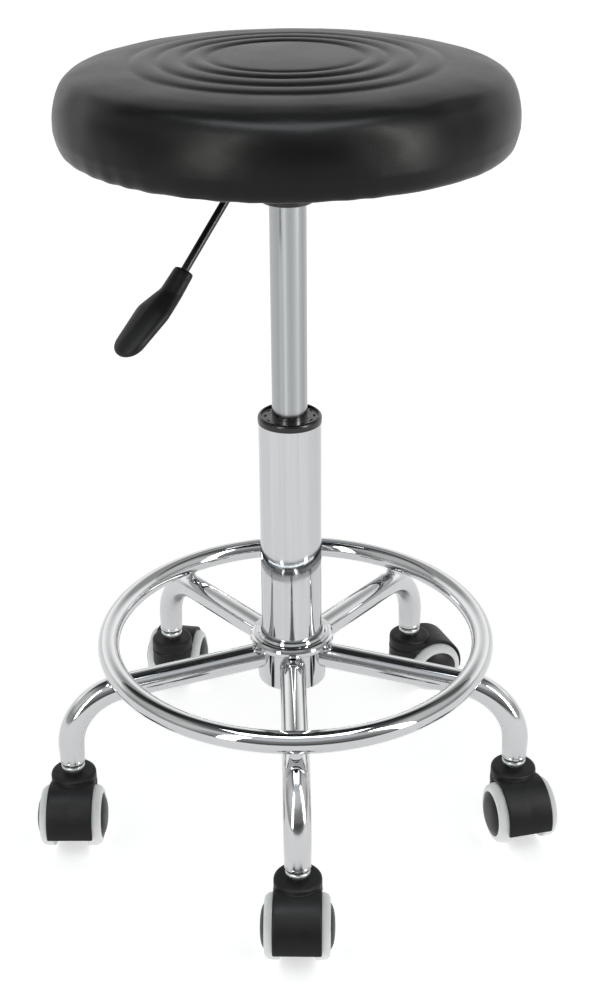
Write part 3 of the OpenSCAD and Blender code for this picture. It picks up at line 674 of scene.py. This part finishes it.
def make_cushion():
    from mathutils.bvhtree import BVHTree

    skin = swell_cushion()
    tree = BVHTree.FromObject(skin, bpy.context.evaluated_depsgraph_get())
    outline = resample(cushion_outline(), 1.7)
    turned = resample([outline[-1], (126.0, SEAT_BOTTOM)], 3.2)[1:]
    prof = np.vstack([outline, turned])
    prof[0, 0] = 0.0
    tangent = np.gradient(prof, axis=0)
    tangent /= np.linalg.norm(tangent, axis=1)[:, None]
    normal = np.c_[-tangent[:, 1], tangent[:, 0]]
    normal[0] = (0, 1)
    segs, rows = 288, len(prof)
    th = 2 * np.pi * np.arange(segs) / segs
    R = np.repeat(prof[:, :1], segs, 1)
    Z = np.repeat(prof[:, 1:], segs, 1)
    T = np.repeat(th[None, :], rows, 0)
    # what the cloth did, off its own mean, so that the outline keeps its size
    puff = np.zeros((rows, segs))
    for i in range(rows):
        nr, nz = normal[i]
        for k in range(0, segs, 2):
            d = Vector((nr * math.cos(th[k]), nr * math.sin(th[k]), nz))
            o = Vector((prof[i, 0] * math.cos(th[k]), prof[i, 0] * math.sin(th[k]), prof[i, 1])) * MM
            hit = tree.ray_cast(o - d * 0.016, d, 0.030)
            puff[i, k] = (hit[3] / MM - 16.0) if hit[0] is not None else np.nan
    even = puff[:, ::2]
    mean = np.nanmean(np.where(np.isfinite(even), even, np.nan), axis=1)
    mean = np.where(np.isfinite(mean), mean, 0.0)
    even = np.where(np.isfinite(even), even, mean[:, None]) - mean[:, None]
    for _ in range(3):
        even = (np.roll(even, 1, 1) + even * 2 + np.roll(even, -1, 1)) / 4
        even[1:-1] = (even[:-2] + even[1:-1] * 2 + even[2:]) / 4
    puff[:, ::2] = even
    puff[:, 1::2] = (even + np.roll(even, -1, 1)) / 2
    puff = np.clip(puff, -1.2, 1.2) * np.clip((prof[:, :1] - 10) / 30, 0, 1)

    along = np.r_[0, np.cumsum(np.linalg.norm(np.diff(prof, axis=0), axis=1))]
    last = len(outline) - 1
    X, Y = R * np.cos(T), R * np.sin(T)
    wob = noise_grid(X, Y, Z * 0, 0.011, 3.1)
    fine = noise_grid(X, Y, Z, 0.045, 7.7)
    # pressed rings on the top: a groove between soft rolls
    H = np.zeros_like(R)
    rr = R + 1.1 * wob
    crown = lambda a, b, h: h * np.clip(np.sin(np.pi * np.clip((rr - a) / (b - a), 0, 1)), 0, 1) ** 0.75
    for g, depth, w_in, w_out in ((56.0, 1.15, 3.0, 3.6), (73.0, 1.1, 3.2, 3.8), (92.5, 1.0, 3.4, 4.2), (112.0, 0.8, 3.6, 5.6)):
        side = np.where(rr < g, w_in, w_out)
        H -= depth * (1 + 0.12 * fine) * np.exp(-np.abs((rr - g) / side) ** 1.7)
    H += crown(57, 72, 0.8) + crown(74, 91.5, 0.75) + crown(93.5, 111, 0.65)
    H += 1.5 * np.clip(1 - (rr / 56.0) ** 2, 0, 1)
    top = np.clip((Z - (SEAT_TOP - 16)) / 8, 0, 1)
    H *= top
    # the shoulder's slow unevenness, and a few soft dents
    H += 0.45 * noise_grid(X, Y, Z, 0.016, 11.0) * np.clip((R - 100) / 30, 0, 1)
    # puckers that run down to the stapled edge
    low = np.clip((SEAT_BOTTOM + 27 - Z) / 22, 0, 1) * (along[:, None] <= along[last] + 1)
    circ = T * SEAT_R
    gather = np.cos(T * 47 + 3.0 * noise_grid(np.cos(T) * 60, np.sin(T) * 60, Z * 0.1, 0.05, 1.0))
    patch = np.clip(noise_grid(np.cos(T) * 100, np.sin(T) * 100, Z * 0, 0.02, 5.0) * 2.2 + 0.35, 0, 1)
    H += low ** 1.6 * (0.28 * gather * patch + 0.3 * noise_grid(np.cos(T) * SEAT_R, np.sin(T) * SEAT_R, Z * 0.3, 0.06, 9.0))
    # pleats between the staples underneath
    under = np.clip((along[:, None] - along[last] + 2) / 9, 0, 1) * np.clip((along[-1] - along[:, None]) / 5, 0, 1)
    pleat = np.maximum(0, np.cos(T * STAPLES * 2 + 1.3 * np.sin(T * 7))) ** 2
    near = np.abs(((np.degrees(T)) % (360 / STAPLES)) - 180 / STAPLES) * np.pi / 180 * STAPLE_R
    dip = np.exp(-(near / 5.2) ** 2) * np.exp(-((R - STAPLE_R) / 5.0) ** 2)
    H += under * (0.75 * pleat + 0.35 * (fine + 0.3)) * (1 - dip)
    edge = np.exp(-((along[:, None] - along[last] + 6) / 16) ** 2)
    H += puff * (1 - 0.72 * edge) * (1 - dip)
    R2 = R + normal[:, :1] * H
    Z2 = Z + normal[:, 1:] * H
    R2[0] = 0.0
    R2 = np.maximum(R2, 0.0)
    inner = np.array([(126.0, SEAT_BOTTOM + 1.22), (BOARD_R + 0.3, SEAT_BOTTOM + 1.22), (BOARD_R + 0.3, BOARD_Z + BOARD_T + 0.15), (0.0, BOARD_Z + BOARD_T + 0.15)])
    R2 = np.vstack([R2, np.repeat(inner[:, :1], segs, 1)])
    Z2 = np.vstack([Z2, np.repeat(inner[:, 1:], segs, 1)])
    X2, Y2 = R2 * np.cos(th) * MM, R2 * np.sin(th) * MM
    n_rows = len(R2)
    verts = [(0, 0, float(Z2[0].mean()) * MM)]
    for i in range(1, n_rows - 1):
        verts += list(zip(X2[i].tolist(), Y2[i].tolist(), (Z2[i] * MM).tolist()))
    verts.append((0, 0, float(Z2[-1].mean()) * MM))
    faces = []
    row = lambda i, k: 1 + (i - 1) * segs + k % segs
    for k in range(segs):
        faces.append((0, row(1, k), row(1, k + 1)))
        faces.append((len(verts) - 1, row(n_rows - 2, k + 1), row(n_rows - 2, k)))
    for i in range(1, n_rows - 2):
        for k in range(segs):
            faces.append((row(i, k), row(i + 1, k), row(i + 1, k + 1), row(i, k + 1)))
    bpy.data.objects.remove(skin)
    cushion = new_object("seat_cushion", verts, faces, VINYL)
    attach(cushion, "seat")
    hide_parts("seat_cover", "seat_foam")
    return cushion


# ------------------------------------------------------------------ moulded parts


def moulded(name, node, frame_matrix, voxel, rounds, keep, material, shape=None):
    """A CAD solid's form with soft moulded edges, in the part's own frame."""
    mesh = frame["nodes"][node].data.copy()
    mesh.transform(frame_matrix.inverted())
    bm = bmesh.new()
    bm.from_mesh(mesh)
    bmesh.ops.remove_doubles(bm, verts=bm.verts, dist=2e-6)
    bm.to_mesh(mesh)
    bm.free()
    mesh.materials.clear()
    obj = link(bpy.data.objects.new(name, mesh))
    remesh = obj.modifiers.new("even", "REMESH")
    remesh.mode = "VOXEL"
    remesh.voxel_size = voxel * MM
    soft = obj.modifiers.new("soft", "SMOOTH")
    soft.factor, soft.iterations = 0.5, rounds
    apply_modifiers(obj)
    if shape:
        co = np.array([v.co for v in obj.data.vertices], float)
        obj.data.vertices.foreach_set("co", shape(co).astype(np.float32).ravel())
        obj.data.update()
    thin = obj.modifiers.new("thin", "DECIMATE")
    thin.ratio = keep
    apply_modifiers(obj)
    smooth(obj.data)
    obj.data.materials.clear()
    obj.data.materials.append(material)
    obj.data.name = name
    bpy.data.objects.remove(obj)
    return bpy.data.meshes[name]


def hood_shape(co):
    """The neck's parting crease and the fender's faint centre seam."""
    r = np.hypot(co[:, 0], co[:, 1])
    z = co[:, 2] / MM
    neck = (r > 0.0150) & (r < 0.0193) & (z > 38)
    cut = 0.75 * np.exp(-np.abs((z - 47.0) / 0.75) ** 2) * MM
    ring = 0.25 * np.exp(-np.abs((z - 44.2) / 1.6) ** 2) * MM
    scale = np.where(neck, (r - cut + ring * (r > 0.0175)) / np.maximum(r, 1e-6), 1.0)
    out = co.copy()
    out[:, 0] *= scale
    out[:, 1] *= scale
    dx, dz = co[:, 0] - TRAIL * MM, co[:, 2] - WHEEL_R * MM
    rr = np.hypot(dx, dz)
    fender = (rr > 0.0272) & (r > 0.0193)
    seam = 0.07 * np.exp(-np.abs(co[:, 1] / MM / 0.42) ** 2) * MM
    k = np.where(fender, (rr - seam) / np.maximum(rr, 1e-6), 1.0)
    out[:, 0] = np.where(fender, TRAIL * MM + dx * k, out[:, 0])
    out[:, 2] = np.where(fender, WHEEL_R * MM + dz * k, out[:, 2])
    return out


def rounded(points, radius, n=5):
    """A closed outline with each corner turned by a small arc-like curve; radius may be a list."""
    out = []
    m = len(points)
    for i in range(m):
        p0, p1, p2 = (np.array(points[(i + d) % m], float) for d in (-1, 0, 1))
        rad = radius[i] if hasattr(radius, "__len__") else radius
        if rad <= 0:
            out.append(tuple(p1))
            continue
        a, b = p0 - p1, p2 - p1
        la, lb = np.linalg.norm(a), np.linalg.norm(b)
        q = min(rad, la * 0.49, lb * 0.49)
        s, e = p1 + a / la * q, p1 + b / lb * q
        for t in np.linspace(0, 1, n):
            out.append(tuple((1 - t) ** 2 * s + 2 * t * (1 - t) * p1 + t * t * e))
    return out


def wheel_meshes():
    tread = lathe(
        "tread",
        rounded([(18.65, 13.75), (24.2, 13.6), (25.0, 14.6), (25.0, 19.4), (24.55, 21.7), (23.3, 23.7), (21.4, 24.95), (19.9, 25.1), (18.65, 25.1)],
                [0.0, 0.5, 0.7, 1.6, 1.2, 1.4, 0.9, 0.5, 0.0], 5),
        TREAD, 112, axis="y")
    core = lathe(
        "core",
        [(3.06, 4.9)] + rounded([(7, 4.9), (7, 14), (17.6, 14), (18.6, 14.0), (18.6, 23.8), (18.1, 24.5), (16.1, 26.0), (13.5, 27.2), (10.4, 27.95), (6.0, 28.4), (2.8, 28.55)],
                                 [0, 0, 0, 0, 0.3, 0.5, 1.3, 1.3, 1.2, 1.2, 0.0], 5)[1:] + [(0, 28.6), (0, 24.6), (3.06, 24.6)],
        CORE, 96, axis="y")
    found = tread.data, core.data
    for o in (tread, core):
        bpy.data.objects.remove(o)
    return found


def sharpen(mesh, angle=35):
    """Splits the shading at hard corners."""
    bm = bmesh.new()
    bm.from_mesh(mesh)
    for e in bm.edges:
        e.smooth = not (len(e.link_faces) == 2 and e.calc_face_angle(0) > math.radians(angle))
    bm.to_mesh(mesh)
    bm.free()


def make_casters():
    hood = moulded("hood_form", "caster_1_hood", caster_frame(1), 0.45, 3, 0.2, HOOD, hood_shape)
    tread, core = wheel_meshes()
    sharpen(tread, 40)
    sharpen(core, 40)
    for i in range(1, 6):
        m = caster_frame(i)
        h = link(bpy.data.objects.new(f"caster_{i}_shell", hood))
        h.matrix_world = m
        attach(h, f"caster_{i}")
        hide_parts(f"caster_{i}_hood")
        for s, side in ((1, "l"), (-1, "r")):
            at = m @ Matrix.Translation((TRAIL * MM, 0, WHEEL_R * MM))
            if s < 0:
                at = at @ Matrix.Rotation(math.pi, 4, "Z")
            # wheels stand at different quarter turns
            at = at @ Matrix.Rotation(math.radians(90 * ((i + (s > 0)) % 4)), 4, "Y")
            for kind, mesh, slot_name in (("tyre", tread, "tread_rubber"), ("disc", core, "core_plastic")):
                o = link(bpy.data.objects.new(f"caster_{i}_{kind}_{side}", mesh))
                o.matrix_world = at
                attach(o, f"caster_{i}_wheel_{side}")
                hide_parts(f"caster_{i}_{'tread' if kind == 'tyre' else 'core'}_{side}")


def make_handle():
    tilt = math.radians(45.3)
    base = spin(225) @ Matrix.Translation((30 * MM, 0, 559.3 * MM)) @ Matrix.Translation((5 * MM, 0, -12 * MM)) @ Matrix.Rotation(tilt, 4, "Y") @ Matrix.Translation((108 * MM, 0, 12 * MM))

    def shape(co):
        # a soft ridge along the paddle's back, a shallow thumb hollow near its end
        x, y, z = co[:, 0] / MM, co[:, 1] / MM, co[:, 2] / MM
        out = co.copy()
        mid = np.interp(x, [-22, -3, 16, 42, 56], [0, 0.2, 4.6, 10.6, 14])
        up = np.clip((z - mid) / 3.0, 0, 1)
        run = np.clip((x + 4) / 10, 0, 1) * np.clip((52 - x) / 8, 0, 1)
        out[:, 2] += (0.25 * np.exp(-(y / 2.6) ** 2) * up * run - 0.35 * np.exp(-(((x - 32) / 12) ** 2 + (y / 8.5) ** 2)) * up) * MM
        # rings moulded round the neck
        neck = np.clip((4 - x) / 6, 0, 1) * np.clip((x + 21.5) / 1.0, 0, 1)
        k = 1 - 0.008 * neck * np.maximum(0, np.cos((x + 21) * 2 * np.pi / 6.5)) ** 6
        out[:, 1] *= k
        out[:, 2] = mid * MM + (out[:, 2] - mid * MM) * k
        return out

    mesh = moulded("handle_form", "lever_handle", base, 0.55, 9, 0.3, HANDLE, shape)
    h = link(bpy.data.objects.new("lever_grip", mesh))
    h.matrix_world = base
    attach(h, "lever")
    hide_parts("lever_handle")


def make_stems():
    """The plated flange and shoulder of each caster stem, under its leg."""
    profile = [(0, 64.5), (9.0, 64.5), (9.5, 64.2), (9.7, 63.7), (9.7, 61.7), (9.5, 61.2), (9.0, 60.9), (8.6, 60.6), (8.6, 59.9), (8.3, 59.5), (7.0, 59.2), (6.3, 58.6), (6.1, 57.15), (5.0, 57.15), (5.0, 38.3), (4.6, 38), (0, 38)]
    verts, faces = [], []
    for i in range(1, 6):
        one = lathe(f"stem_form_{i}", profile, ZINC, 72, closed=False)
        m = caster_frame(i)
        base = len(verts)
        verts += [m @ v.co for v in one.data.vertices]
        faces += [tuple(base + k for k in p.vertices) for p in one.data.polygons]
        bpy.data.objects.remove(one)
    obj = new_object("stem_collars", verts, faces, ZINC)
    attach(obj, frame["nodes"]["caster_stems"]["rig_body"])
    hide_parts("caster_stems")
    sharpen(obj.data, 40)


make_cushion()
make_casters()
make_stems()
make_handle()
